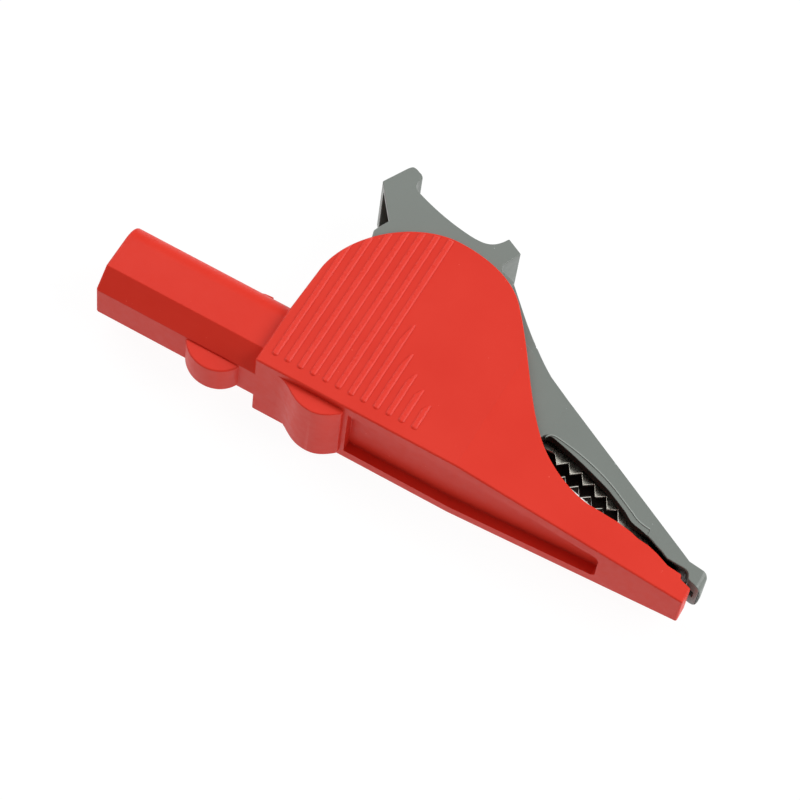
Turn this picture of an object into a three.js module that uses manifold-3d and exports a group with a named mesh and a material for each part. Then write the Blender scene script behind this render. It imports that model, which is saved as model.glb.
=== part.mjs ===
// An insulated test clip: a red housing with a 4 mm safety socket in its rear sleeve, and a grey
// sprung lever that carries the upper jaw. Millimetres. The clip lies on its side.
//
// Drawing axes, used throughout: x runs along the socket's axis from its mouth to the jaws' tip, y
// from the underside to the lever, and z across the clip, with z = 0 on its middle plane. The
// exported group moves that frame so that the clip's box stands on z = 0, centred in x and y.
import * as THREE from 'three';
import { mergeVertices } from 'three/addons/utils/BufferGeometryUtils.js';
import Module from 'manifold-3d';

const wasm = await Module();
wasm.setup();

// ---- Driving dimensions ----

const GAP = 0.3; // between pieces that sit against each other
const CURVE_STEPS = 10; // straight steps for each curved stretch of an outline
const ROUND_STEPS = 32; // sides of a small turned piece
const FAR = 60; // reaches past every face, for open sides of cuts

const MOUTH = -0.45; // the sleeve's open rear end
const TIP = 93.0; // the lever's front end
const TOP = 33.4;
const BOTTOM = -8.4;

const BODY_REAR = 25.0;
const BODY_FRONT = 91.6;
const BODY_BOTTOM = -5.8;
const BODY_HALF = 7.0;
const TAPER_START = 56.3;
const BODY_TIP_HALF = 3.0;
const CHEEK = 0.75;
const FLOOR = -3.0; // top of the housing's floor, under the jaws
const NOSE_FLOOR = -4.3;

const SLEEVE_HIGH = 5.8; // half of the sleeve's height
const SLEEVE_WIDE = 5.7; // half of its width
const SLEEVE_CHAMFER = 2.75; // along its lower edges
const SLEEVE_CROWN = 3.6; // radius of its upper edges
const SLEEVE_RIM = 0.25;
const SHROUD_BORE = 4.1; // radius, round a sheathed plug
const SHROUD_DEPTH = 20;
const SEAT_BORE = 3.35;

const POST = { front: 4.8, radius: 3.1, bore: 2.5, lip: 2.15, flange: 4.0 };
const CONTACT = { front: 5.6, radius: 2.4, bore: 2.02, floor: 24, rear: 29.0, flange: 3.3, thread: 1.1 };
const REAR_WALL = 1.5;

const RIBS = { count: 12, first: 27.3, pitch: 1.98, width: 0.9, height: 0.2, low: -3.9 };

const PIVOT = new THREE.Vector2(44, 8);
const PIN_RADIUS = 1.5;
const PIN_CLEARANCE = 0.06;
const SHEET = 0.7; // thickness of the steel jaws

const LEVER_HALF = 5.95;
const LEVER_WALL = 0.9;
const NOSE = { start: 64.5, half: 4.85, front: 91.9, frontHalf: 2.81 }; // the lever's tapered front
const NOSE_BACK = [new THREE.Vector2(64.8, 12), new THREE.Vector2(88.6, 0.62)]; // its straight back
const LEVER_NOSE_WALL = 1.6;
const LEVER_FRONT_WALL = 0.6;
const SHOULDER = 0.6; // the lever's sides step in by this much above the nose

const SPRING = { wire: 0.5, radius: 2.95, turns: 3.5, pitch: 1.15 };

// ---- Materials ----

const red = new THREE.MeshStandardMaterial({ color: 0xe2463b, roughness: 0.42, metalness: 0 });
const grey = new THREE.MeshStandardMaterial({ color: 0x7d8782, roughness: 0.5, metalness: 0 });
const nickel = new THREE.MeshStandardMaterial({ color: 0xc9c4b4, roughness: 0.28, metalness: 1 });
const steel = new THREE.MeshStandardMaterial({ color: 0xa9abad, roughness: 0.35, metalness: 1 });
const brass = new THREE.MeshStandardMaterial({ color: 0xcdb87a, roughness: 0.3, metalness: 1 });

// ---- Solids ----

const bareSolid = (geometry) => {
  const bare = geometry.clone();
  bare.deleteAttribute('normal');
  bare.deleteAttribute('uv');
  const merged = mergeVertices(bare, 1e-4);
  return new wasm.Manifold(new wasm.Mesh({
    numProp: 3,
    vertProperties: merged.attributes.position.array,
    triVerts: new Uint32Array(merged.index.array),
  }));
};

const pieceMesh = (name, solid, material) => {
  const { vertProperties, triVerts } = solid.getMesh();
  const geometry = new THREE.BufferGeometry();
  geometry.setAttribute('position', new THREE.BufferAttribute(vertProperties, 3));
  geometry.setIndex(new THREE.BufferAttribute(triVerts, 1));
  geometry.computeVertexNormals();
  const mesh = new THREE.Mesh(geometry, material);
  mesh.name = name;
  return mesh;
};

// A side outline (x, y), as thick as twice halfWidth across the middle plane.
const sideSolid = (outline, halfWidth = FAR, middle = 0) => {
  const options = { depth: 2 * halfWidth, bevelEnabled: false, curveSegments: CURVE_STEPS };
  return bareSolid(new THREE.ExtrudeGeometry(outline, options).translate(0, 0, middle - halfWidth));
};

// A plan outline (x, z) that stands from low to high.
const planSolid = (outline, low = -FAR, high = FAR) => {
  const options = { depth: high - low, bevelEnabled: false, curveSegments: CURVE_STEPS };
  const geometry = new THREE.ExtrudeGeometry(outline, options);
  return bareSolid(geometry.rotateX(Math.PI / 2).translate(0, high, 0));
};

const polygon = (points) => new THREE.Shape(points.map(([x, y]) => new THREE.Vector2(x, y)));

// A plan symmetric about the middle plane, from its half-widths along x.
const symmetricPlan = (stations) => {
  const mirrored = stations.map(([x, half]) => [x, -half]).reverse();
  return polygon([...stations, ...mirrored]);
};

// A profile of [radius, place] turned round the x axis, or round a line along z.
const turned = (profile, steps = ROUND_STEPS) => {
  const points = profile.map(([radius, place]) => new THREE.Vector2(radius, place));
  return new THREE.LatheGeometry(points, steps);
};
const turnedAlongX = (profile, steps) => bareSolid(turned(profile, steps).rotateZ(-Math.PI / 2));
const turnedAlongZ = (profile, centre, steps) => (
  bareSolid(turned(profile, steps).rotateX(Math.PI / 2).translate(centre.x, centre.y, 0)));

const rod = (radius, from, to) => [[0, from], [radius, from], [radius, to], [0, to]];
const tube = (radius, bore, from, to) => (
  [[bore, from], [radius, from], [radius, to], [bore, to], [bore, from]]);

// ---- Plans shared by pieces that nest in each other ----

const bodyHalf = (x) => {
  const along = Math.max(0, x - TAPER_START) / (BODY_FRONT - TAPER_START);
  return BODY_HALF - along * (BODY_HALF - BODY_TIP_HALF);
};
const bodyPlan = (inset, from, to) => symmetricPlan([
  [from, BODY_HALF - inset],
  [TAPER_START, BODY_HALF - inset],
  [to, bodyHalf(to) - inset],
]);

const leverHalf = (x) => {
  const { start, half, front, frontHalf } = NOSE;
  if (x > start) return half - (x - start) * (half - frontHalf) / (front - start);
  return LEVER_HALF - Math.max(0, x - TAPER_START) * (LEVER_HALF - half) / (start - TAPER_START);
};
const leverPlan = symmetricPlan([
  [20, LEVER_HALF],
  [TAPER_START, LEVER_HALF],
  [NOSE.start, NOSE.half],
  [NOSE.front, NOSE.frontHalf],
  [92.4, 2.55],
  [92.75, 2.1],
  [92.9, 1.5],
  [TIP, 0.3],
]);
const shoulderPlan = (inset) => symmetricPlan([
  [20, LEVER_HALF - inset],
  [TAPER_START, LEVER_HALF - inset],
  [NOSE.start, NOSE.half - inset],
  [70, leverHalf(70) - inset],
]);
const leverHollowPlan = symmetricPlan([
  [15, LEVER_HALF - LEVER_WALL],
  [52, LEVER_HALF - LEVER_WALL],
  [NOSE.start, NOSE.half - LEVER_NOSE_WALL],
  [81, leverHalf(81) - LEVER_NOSE_WALL],
  [83.4, leverHalf(83.4) - LEVER_FRONT_WALL],
  [91, leverHalf(91) - LEVER_FRONT_WALL],
]);

// ---- Housing ----

const cheekOutline = () => {
  const s = new THREE.Shape();
  s.moveTo(BODY_REAR, BODY_BOTTOM);
  s.lineTo(TAPER_START, BODY_BOTTOM);
  s.lineTo(BODY_FRONT, BODY_BOTTOM - 0.2);
  s.lineTo(BODY_FRONT, -3.45);
  s.lineTo(89.75, -2.95);
  s.lineTo(89.6, -2.3);
  s.lineTo(87.4, -2.2);
  s.lineTo(85.4, -1.48);
  s.lineTo(83.8, -1.08);
  s.lineTo(82.2, -1.0);
  s.lineTo(80.8, -0.66);
  s.lineTo(78.7, -0.42);
  s.lineTo(73.9, -0.38);
  s.bezierCurveTo(70.5, 0, 66.6, 2.0, 64.1, 4.5);
  s.bezierCurveTo(59.6, 9.1, 56.4, 15.2, 51.9, 20.7);
  s.bezierCurveTo(49.2, 24.2, 44.2, 25.4, 39.8, 25.4);
  s.bezierCurveTo(33, 25.3, 25.7, 18.4, BODY_REAR + 0.35, 11.3);
  s.lineTo(BODY_REAR, 4);
  return s;
};

// The space between the cheeks, open above the rear wall.
const hollowOutline = () => polygon([
  [BODY_REAR + REAR_WALL, -POST.flange - GAP],
  [CONTACT.rear + GAP, -POST.flange - GAP],
  [CONTACT.rear + GAP, FLOOR],
  [78, FLOOR],
  [86, NOSE_FLOOR],
  [BODY_FRONT - 1.2, NOSE_FLOOR],
  [BODY_FRONT - 1.2, FAR],
  [0, FAR],
  [0, 7.2],
  [BODY_REAR + REAR_WALL, 7.2],
]);

const sleeve = () => {
  const crownZ = SLEEVE_WIDE - SLEEVE_CROWN;
  const crownY = SLEEVE_HIGH - SLEEVE_CROWN;
  const section = new THREE.Shape();
  section.moveTo(SLEEVE_CHAMFER - SLEEVE_WIDE, -SLEEVE_HIGH);
  section.lineTo(SLEEVE_WIDE - SLEEVE_CHAMFER, -SLEEVE_HIGH);
  section.lineTo(SLEEVE_WIDE, SLEEVE_CHAMFER - SLEEVE_HIGH);
  section.absarc(crownZ, crownY, SLEEVE_CROWN, 0, Math.PI / 2, false);
  section.absarc(-crownZ, crownY, SLEEVE_CROWN, Math.PI / 2, Math.PI, false);
  section.lineTo(-SLEEVE_WIDE, SLEEVE_CHAMFER - SLEEVE_HIGH);
  const options = {
    curveSegments: CURVE_STEPS,
    depth: BODY_REAR + 1 - MOUTH - 2 * SLEEVE_RIM,
    bevelThickness: SLEEVE_RIM,
    bevelSize: SLEEVE_RIM,
    bevelOffset: -SLEEVE_RIM,
    bevelSegments: 3,
  };
  const geometry = new THREE.ExtrudeGeometry(section, options);
  return bareSolid(geometry.translate(0, 0, MOUTH + SLEEVE_RIM).rotateY(Math.PI / 2));
};

// The round finger stop under the sleeve, whose curve just reaches BOTTOM.
const sleeveStop = () => {
  const dip = (BOTTOM - 0.25 * BODY_BOTTOM) / 0.75;
  const s = new THREE.Shape();
  s.moveTo(14.1, BODY_BOTTOM + 0.5);
  s.lineTo(14.1, BODY_BOTTOM);
  s.bezierCurveTo(16, dip, 21.1, dip, 22.6, BODY_BOTTOM);
  s.lineTo(22.6, BODY_BOTTOM + 0.5);
  return sideSolid(s, 2.65);
};

// The moulding gate's flat nub on the sleeve, round at its rear and sloping up to its front.
const gate = () => {
  const radius = 2.3;
  const rear = 18;
  const front = 21.1;
  const plan = new THREE.Shape();
  plan.moveTo(front, -radius);
  plan.lineTo(front, radius);
  plan.absarc(rear + radius, 0, radius, Math.PI / 2, 1.5 * Math.PI, false);
  const slope = [
    [rear - 1, 4], [front + 1, 4], [front + 1, SLEEVE_HIGH + 0.7], [rear - 1, SLEEVE_HIGH + 0.4],
  ];
  return planSolid(plan).intersect(sideSolid(polygon(slope)));
};

// The larger finger stop under the housing, with a hollow run up to it and a small step at its front.
const bodyStop = () => {
  const low = BOTTOM + 0.15;
  const front = 39;
  const s = new THREE.Shape();
  s.moveTo(28.3, BODY_BOTTOM + 0.3);
  s.lineTo(28.3, BODY_BOTTOM);
  s.bezierCurveTo(30.9, BODY_BOTTOM, 31.6, low, 35, low);
  s.bezierCurveTo(36.6, low, 37.7, -7.5, front, BODY_BOTTOM - 0.5);
  s.lineTo(front, BODY_BOTTOM + 0.3);
  return sideSolid(s, BODY_HALF - 1.15);
};

const RIB_TOPS = [10.4, 6.3, 3.8, 2.1, 0.5]; // the short ribs' upper ends, towards the jaws
const rib = (index, outer) => {
  const right = RIBS.first + index * RIBS.pitch;
  const short = index - (RIBS.count - RIB_TOPS.length);
  const top = short < 0 ? FAR : RIB_TOPS[short];
  const s = new THREE.Shape();
  const middle = right - RIBS.width / 2;
  s.moveTo(right, RIBS.low + RIBS.width / 2);
  s.lineTo(right, top);
  s.lineTo(right - RIBS.width, top - RIBS.width);
  s.lineTo(right - RIBS.width, RIBS.low + RIBS.width / 2);
  s.absarc(middle, RIBS.low + RIBS.width / 2, RIBS.width / 2, Math.PI, 2 * Math.PI, false);
  const half = (RIBS.height + 0.2) / 2;
  return sideSolid(s, half, outer * (BODY_HALF + RIBS.height - half));
};
const ribs = () => {
  const both = [];
  for (let i = 0; i < RIBS.count; i += 1) both.push(rib(i, 1), rib(i, -1));
  return wasm.Manifold.union(both).intersect(sideSolid(cheekOutline()).translate([0.4, -0.4, 0]));
};

// The recess in the underside, ahead of the finger stop.
const undersideRecess = () => {
  const rim = 1.9;
  const plan = symmetricPlan([
    [39.7, BODY_HALF - rim],
    [TAPER_START, BODY_HALF - rim],
    [78.4, bodyHalf(78.4) - rim],
    [78.9, bodyHalf(78.9) - rim - 0.5],
  ]);
  return planSolid(plan, BODY_BOTTOM - 3, BODY_BOTTOM + 1.5);
};

const housing = () => {
  const shell = sideSolid(cheekOutline()).intersect(planSolid(bodyPlan(0, 20, 95)));
  const hollow = sideSolid(hollowOutline()).intersect(planSolid(bodyPlan(CHEEK, 0, 95)));
  return shell
    .subtract(hollow)
    .add(sleeve())
    .add(sleeveStop())
    .add(bodyStop())
    .add(gate())
    .add(ribs())
    .subtract(undersideRecess())
    .subtract(turnedAlongX(rod(SHROUD_BORE, MOUTH - 1, SHROUD_DEPTH)))
    .subtract(turnedAlongX(rod(SEAT_BORE, SHROUD_DEPTH - 1, BODY_REAR + REAR_WALL + 1)));
};

// ---- Socket ----

const socketInsulator = () => {
  const seat = BODY_REAR + REAR_WALL + GAP;
  return turnedAlongX([
    [POST.lip, POST.front],
    [POST.radius - 0.3, POST.front],
    [POST.radius, POST.front + 0.3],
    [POST.radius, seat],
    [POST.flange, seat],
    [POST.flange, seat + 0.8],
    [POST.bore, seat + 0.8],
    [POST.bore, CONTACT.front - GAP],
    [POST.lip, CONTACT.front - GAP],
    [POST.lip, POST.front],
  ]);
};

const contactTube = () => {
  const seat = BODY_REAR + REAR_WALL + 2 * GAP + 0.8;
  return turnedAlongX([
    [CONTACT.bore, CONTACT.front],
    [CONTACT.radius, CONTACT.front],
    [CONTACT.radius, seat],
    [CONTACT.flange, seat],
    [CONTACT.flange, CONTACT.rear],
    [CONTACT.thread, CONTACT.rear],
    [CONTACT.thread, CONTACT.floor + 1],
    [0, CONTACT.floor + 1],
    [0, CONTACT.floor],
    [CONTACT.bore, CONTACT.floor],
    [CONTACT.bore, CONTACT.front],
  ]);
};

const TAB_REAR = CONTACT.rear + GAP;
const TAB_FRONT = TAB_REAR + SHEET;

const lockWasher = () => turnedAlongX(tube(1.75, 1.15, TAB_FRONT + 0.15, TAB_FRONT + 0.6));

const contactScrew = () => {
  const under = TAB_FRONT + 0.75;
  const head = turnedAlongX([
    [0, CONTACT.floor + 1.5],
    [0.85, CONTACT.floor + 1.5],
    [0.85, under],
    [1.7, under],
    [1.7, under + 0.9],
    [1.3, under + 1.35],
    [0, under + 1.35],
  ]);
  const slotGeometry = new THREE.BoxGeometry(1.2, 0.5, 6).translate(under + 1.35, 0, 0);
  return head.subtract(bareSolid(slotGeometry));
};

// ---- Jaws: bent sheet steel, with a row of coarse teeth and a row of fine ones at the tip ----

const COARSE = { count: 6, firstTip: 67.15, pitch: 2.27, steep: 0.95, depth: 1.3 };
const FINE = { count: 6, firstTip: 80.55, pitch: 1.5, depth: 0.8 };
const FINE_SLOPE = -0.21;
const TEETH_APART = 0.45;

const upperValley = (x) => 5.44 - 0.0178 * (x - 64.7) ** 2;
const lowerCrest = (x) => 1.83 - 0.193 * (x - 71.1);
const fineMeet = (x) => 0.13 + FINE_SLOPE * (x - 80);

const upperTeeth = () => {
  const points = [];
  for (let i = 0; i < COARSE.count; i += 1) {
    const tip = COARSE.firstTip + i * COARSE.pitch;
    const valley = tip - COARSE.steep;
    points.push([valley, upperValley(valley)], [tip, upperValley(tip) - COARSE.depth]);
  }
  for (let i = 0; i < FINE.count; i += 1) {
    const tip = FINE.firstTip + i * FINE.pitch;
    const valley = tip - FINE.pitch / 2;
    points.push([valley, fineMeet(valley) + TEETH_APART], [tip, fineMeet(tip) + TEETH_APART - FINE.depth]);
  }
  return points;
};

const lowerTeeth = () => {
  const points = [];
  for (let i = 0; i < COARSE.count; i += 1) {
    const crest = COARSE.firstTip + (i - 0.25) * COARSE.pitch;
    const valley = crest - COARSE.pitch / 2;
    points.push([valley, lowerCrest(valley) - COARSE.depth], [crest, lowerCrest(crest)]);
  }
  for (let i = 0; i < FINE.count; i += 1) {
    const crest = FINE.firstTip + (i - 0.5) * FINE.pitch;
    const valley = crest + FINE.pitch / 2;
    points.push([crest, fineMeet(crest)], [valley, fineMeet(valley) - FINE.depth]);
  }
  return points;
};

const upperJawWalls = () => {
  const s = new THREE.Shape();
  s.moveTo(PIVOT.x, PIVOT.y - 4.2);
  s.lineTo(52, 4.2);
  s.lineTo(63.5, 5.2);
  upperTeeth().forEach(([x, y]) => s.lineTo(x, y));
  s.lineTo(89.6, -2.2);
  s.lineTo(89.6, -1.25);
  s.lineTo(87.6, -0.8);
  s.lineTo(78.5, 3.5);
  s.lineTo(71, 7.05);
  s.lineTo(62.2, 11.1);
  s.lineTo(56, 15);
  s.lineTo(50, 14.4);
  s.lineTo(PIVOT.x, PIVOT.y + 4.2);
  s.absarc(PIVOT.x, PIVOT.y, 4.2, Math.PI / 2, 1.5 * Math.PI, false);
  return s;
};
const upperJawPlan = (inset) => symmetricPlan([
  [38, 3.5 - inset],
  [56, 3.5 - inset],
  [64, 2.5 - inset],
  [90, 1.2 - inset],
]);
const upperJawHollow = () => polygon([
  [30, -FAR],
  [88.9, -FAR],
  [88.9, -1.8],
  [87.3, -1.45],
  [78.2, 2.85],
  [70.7, 6.4],
  [61.9, 10.45],
  [55.8, 14.2],
  [52, 14.2],
  [52, FAR],
  [30, FAR],
]);

const pivotHole = () => {
  const profile = rod(PIN_RADIUS + PIN_CLEARANCE, -FAR, FAR);
  return turnedAlongZ(profile, PIVOT);
};

const upperJaw = () => {
  const hollow = sideSolid(upperJawHollow()).intersect(planSolid(upperJawPlan(SHEET)));
  return sideSolid(upperJawWalls())
    .intersect(planSolid(upperJawPlan(0)))
    .subtract(hollow)
    .subtract(pivotHole());
};

const lowerJawWalls = () => {
  const base = FLOOR + GAP;
  const noseBase = NOSE_FLOOR + GAP;
  const s = new THREE.Shape();
  s.moveTo(TAB_REAR, base);
  s.lineTo(78, base);
  s.lineTo(86, noseBase);
  s.lineTo(BODY_FRONT - 1.5, noseBase);
  s.lineTo(BODY_FRONT - 1.5, -2.75);
  lowerTeeth().sort((a, b) => b[0] - a[0]).forEach(([x, y]) => s.lineTo(x, y));
  s.lineTo(64, 0.9);
  s.lineTo(53, 0.9);
  s.lineTo(PIVOT.x + 4.6, PIVOT.y - 1.6);
  s.absarc(PIVOT.x, PIVOT.y, 4.8, -0.33, Math.PI + 0.33, false);
  s.lineTo(PIVOT.x - 7.5, 0.4);
  s.lineTo(TAB_FRONT, 0.4);
  s.lineTo(TAB_FRONT, 3.4);
  s.lineTo(TAB_REAR, 3.4);
  return s;
};
const lowerJawPlan = (inset, from) => symmetricPlan([
  [from, 4.5 - inset],
  [54, 4.5 - inset],
  [64, 2.4 - inset],
  [92, 1.2 - inset],
]);
const lowerJawHollow = () => polygon([
  [TAB_FRONT, FLOOR + GAP + SHEET],
  [77.8, FLOOR + GAP + SHEET],
  [85.8, NOSE_FLOOR + GAP + SHEET],
  [FAR + 40, NOSE_FLOOR + GAP + SHEET],
  [FAR + 40, FAR],
  [TAB_FRONT, FAR],
]);

const lowerJaw = () => {
  const plan = lowerJawPlan(0, 20);
  const hollow = sideSolid(lowerJawHollow()).intersect(planSolid(lowerJawPlan(SHEET, 20)));
  return sideSolid(lowerJawWalls())
    .intersect(planSolid(plan))
    .subtract(hollow)
    .subtract(turnedAlongX(rod(1.3, TAB_REAR - 1, TAB_FRONT + 0.1)))
    .subtract(pivotHole());
};

// ---- Pivot and spring ----

const pivotPin = () => turnedAlongZ([
  [0, -5.3],
  [1.9, -5.3],
  [2.2, -4.95],
  [PIN_RADIUS, -4.95],
  [PIN_RADIUS, 4.95],
  [2.2, 4.95],
  [1.9, 5.3],
  [0, 5.3],
], PIVOT);

const springBush = () => turnedAlongZ(tube(2.2, PIN_RADIUS + PIN_CLEARANCE, -2.6, 2.6), PIVOT);

// The coil lies round the bush, and both legs run back, one to the lower jaw and one up to the lever.
const springPath = () => {
  const points = [];
  const stepsPerTurn = 16;
  const start = -1.35;
  const steps = Math.round(SPRING.turns * stepsPerTurn);
  const width = SPRING.turns * SPRING.pitch;
  const lowerFoot = new THREE.Vector3(34.2, FLOOR + GAP + SHEET + GAP + SPRING.wire, -width / 2);
  const upperFoot = new THREE.Vector3(36.4, 25.2, width / 2);
  for (let i = 0; i <= steps; i += 1) {
    const turn = (i / stepsPerTurn) * 2 * Math.PI;
    const angle = start + turn;
    points.push(new THREE.Vector3(
      PIVOT.x + SPRING.radius * Math.cos(angle),
      PIVOT.y + SPRING.radius * Math.sin(angle),
      -width / 2 + (i / steps) * width,
    ));
  }
  const coilStart = points[0];
  const coilEnd = points[points.length - 1];
  const between = (a, b, share) => new THREE.Vector3().lerpVectors(a, b, share);
  return new THREE.CatmullRomCurve3([
    lowerFoot,
    between(lowerFoot, coilStart, 0.5),
    between(lowerFoot, coilStart, 0.9),
    ...points,
    between(coilEnd, upperFoot, 0.1),
    between(coilEnd, upperFoot, 0.5),
    upperFoot,
  ], false, 'centripetal');
};

const torsionSpring = () => {
  const section = new THREE.Shape().absarc(0, 0, SPRING.wire, 0, 2 * Math.PI, false);
  const options = { steps: 110, curveSegments: 4, extrudePath: springPath() };
  return bareSolid(new THREE.ExtrudeGeometry(section, options));
};

// ---- Lever ----

const leverOutline = () => {
  const s = new THREE.Shape();
  s.moveTo(25.5, 29);
  s.lineTo(29.5, 23.8);
  s.lineTo(28.7, 22.1);
  s.lineTo(28.4, 21.3);
  s.lineTo(29.2, 18.5);
  s.bezierCurveTo(30.5, 11, 35, 3.4, 42, 2.4);
  s.lineTo(52, 2.4);
  s.lineTo(63.2, 4.3);
  s.lineTo(63.9, 5.6);
  s.quadraticCurveTo(64.3, 6.2, 65.3, 6.15);
  s.bezierCurveTo(69, 5.4, 72.5, 4.4, 75.5, 3.35);
  s.lineTo(77.2, 2.5);
  s.lineTo(78.7, 1.85);
  s.lineTo(79.6, 1.3);
  s.lineTo(80.4, 0.87);
  s.lineTo(81.45, 0.66);
  s.lineTo(82.7, 0.4);
  s.lineTo(83.6, 0.1);
  s.lineTo(84.6, -0.3);
  s.lineTo(85.6, -0.65);
  s.lineTo(86.8, -1.2);
  s.lineTo(89.4, -1.22);
  s.quadraticCurveTo(90.3, -1.3, 90.5, -2.0);
  s.quadraticCurveTo(90.6, -2.4, 91.1, -2.5);
  s.lineTo(92.5, -2.85);
  s.quadraticCurveTo(TIP, -2.9, TIP, -2.4);
  s.lineTo(92.75, -0.6);
  s.quadraticCurveTo(92.6, -0.15, 91.9, -0.05);
  s.lineTo(89.6, 0.12);
  s.lineTo(NOSE_BACK[1].x, NOSE_BACK[1].y);
  s.lineTo(NOSE_BACK[0].x, NOSE_BACK[0].y);
  s.bezierCurveTo(59.6, 14.5, 56.6, 16.9, 52.4, 21.15);
  s.lineTo(49.3, 24.3);
  s.lineTo(46.9, 25);
  s.lineTo(46.6, 25.9);
  s.lineTo(47.9, 28.8);
  s.lineTo(45.3, 30.1);
  s.bezierCurveTo(44.1, 27.6, 42.6, 27.5, 40.4, 27.7);
  s.bezierCurveTo(37, 28.1, 34, 28.9, 30.9, 30.1);
  s.bezierCurveTo(29.7, 30.6, 29.6, 31.4, 30.1, 32.4);
  s.quadraticCurveTo(29.9, 32.9, 29.2, 33.1);
  s.quadraticCurveTo(28.7, TOP, 28.2, TOP);
  s.quadraticCurveTo(27.9, TOP, 27.5, 32.75);
  return s;
};

// The lever is open along its underside and at its rear.
const leverHollowOutline = () => {
  const s = new THREE.Shape();
  s.moveTo(26.35, 27.95);
  s.lineTo(28.1, 31.4);
  s.lineTo(29.3, 29.5);
  s.bezierCurveTo(33.5, 27.5, 37, 26.6, 40.4, 26.35);
  s.lineTo(44.6, 26.9);
  s.lineTo(45.9, 24.2);
  s.lineTo(48.6, 22.9);
  s.lineTo(51.4, 20.0);
  s.bezierCurveTo(55.6, 15.7, 58.6, 13.2, 64, 10.8);
  s.lineTo(87.9, -0.55);
  s.lineTo(90.0, -0.95);
  s.lineTo(90.0, -FAR);
  s.lineTo(10, -FAR);
  s.lineTo(10, 23);
  return s;
};

// What lies beside the tail's front half: above the line of the nose's back, and outside a plan.
const besideShoulder = (inset) => {
  const rear = 49.3;
  const [end, front] = NOSE_BACK;
  const slope = (end.y - front.y) / (front.x - end.x);
  const above = sideSolid(polygon([
    [rear, end.y + slope * (end.x - rear)],
    [end.x, end.y],
    [end.x, FAR],
    [rear, FAR],
  ]));
  return above.subtract(planSolid(shoulderPlan(inset)));
};

const lever = () => {
  const hollow = sideSolid(leverHollowOutline())
    .intersect(planSolid(leverHollowPlan))
    .subtract(besideShoulder(SHOULDER + LEVER_WALL));
  const noseSlot = polygon([[88, -1.3], [92, -1.3], [92, -FAR], [88, -FAR]]);
  const pinRoom = rod(2.6, -FAR, FAR);
  return sideSolid(leverOutline())
    .intersect(planSolid(leverPlan))
    .subtract(besideShoulder(SHOULDER))
    .subtract(hollow)
    .subtract(sideSolid(noseSlot, 0.8))
    .subtract(turnedAlongZ(pinRoom, PIVOT));
};

// ---- The clip ----

const clip = new THREE.Group();
clip.add(
  pieceMesh('housing', housing(), red),
  pieceMesh('socket_insulator', socketInsulator(), red),
  pieceMesh('contact_tube', contactTube(), brass),
  pieceMesh('contact_screw', contactScrew(), steel),
  pieceMesh('lock_washer', lockWasher(), steel),
  pieceMesh('lower_jaw', lowerJaw(), nickel),
  pieceMesh('upper_jaw', upperJaw(), nickel),
  pieceMesh('pivot_pin', pivotPin(), steel),
  pieceMesh('spring_bush', springBush(), brass),
  pieceMesh('torsion_spring', torsionSpring(), steel),
  pieceMesh('lever', lever(), grey),
);
clip.position.set(-(MOUTH + TIP) / 2, -(TOP + BOTTOM) / 2, BODY_HALF + RIBS.height);

export default clip;
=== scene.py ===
"""An insulated test clip, lying on its side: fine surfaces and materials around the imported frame.

Outlines are in millimetres in the clip's drawing axes: x from the socket's mouth to the jaws' tip,
y from the underside to the lever, z across the clip with z = 0 on its middle plane, and the socket's
axis at y = z = 0. place() moves a finished piece into the frame, in metres.
"""

import math

import bmesh
import bpy
from mathutils import Matrix, Vector


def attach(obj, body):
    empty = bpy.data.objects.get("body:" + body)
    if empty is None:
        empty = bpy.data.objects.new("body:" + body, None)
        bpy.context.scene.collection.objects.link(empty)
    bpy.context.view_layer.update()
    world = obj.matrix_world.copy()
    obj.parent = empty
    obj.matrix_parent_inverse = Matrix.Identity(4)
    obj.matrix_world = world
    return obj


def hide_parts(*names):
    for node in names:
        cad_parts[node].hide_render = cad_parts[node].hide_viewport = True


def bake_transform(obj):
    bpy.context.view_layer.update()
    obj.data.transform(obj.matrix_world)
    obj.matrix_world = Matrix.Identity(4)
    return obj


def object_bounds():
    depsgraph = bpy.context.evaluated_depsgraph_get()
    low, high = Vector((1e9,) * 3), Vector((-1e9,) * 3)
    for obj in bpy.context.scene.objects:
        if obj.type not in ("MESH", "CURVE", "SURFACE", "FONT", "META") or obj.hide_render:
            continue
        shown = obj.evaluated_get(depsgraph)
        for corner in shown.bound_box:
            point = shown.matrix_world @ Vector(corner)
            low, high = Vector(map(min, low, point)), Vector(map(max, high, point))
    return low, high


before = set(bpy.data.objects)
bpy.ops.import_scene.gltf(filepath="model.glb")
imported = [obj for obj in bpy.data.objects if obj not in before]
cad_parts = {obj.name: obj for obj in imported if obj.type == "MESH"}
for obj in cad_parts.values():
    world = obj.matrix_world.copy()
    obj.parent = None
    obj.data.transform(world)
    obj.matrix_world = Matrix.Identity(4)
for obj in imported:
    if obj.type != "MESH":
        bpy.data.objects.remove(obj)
cad_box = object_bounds()
scene = bpy.context.scene

# ---- Driving dimensions ----

MM = 0.001
GAP = 0.3  # air between neighbouring pieces
FAR = 60  # past everything
ACROSS = 20  # half the thickness of a solid that cuts right across the clip

# The whole clip.
MOUTH = -0.45
TIP = 93.0
TOP = 33.4
BOTTOM = -8.4

# The housing: its body between the cheeks, the sleeve behind it and the ribs on it.
BODY_REAR = 25.0
BODY_FRONT = 91.6
BODY_BOTTOM = -5.8
BODY_HALF = 7.0
TAPER_START = 56.3
BODY_TIP_HALF = 3.0
CHEEK = 0.75
CHEEK_RIM = 0.4  # plain width between the long ribs' ends and the cheek's edge
FLOOR = -3.0
NOSE_FLOOR = -4.3
FLOOR_FALL = (78, 86)  # where the floor goes down to the nose's
REAR_WALL = 1.5

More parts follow.
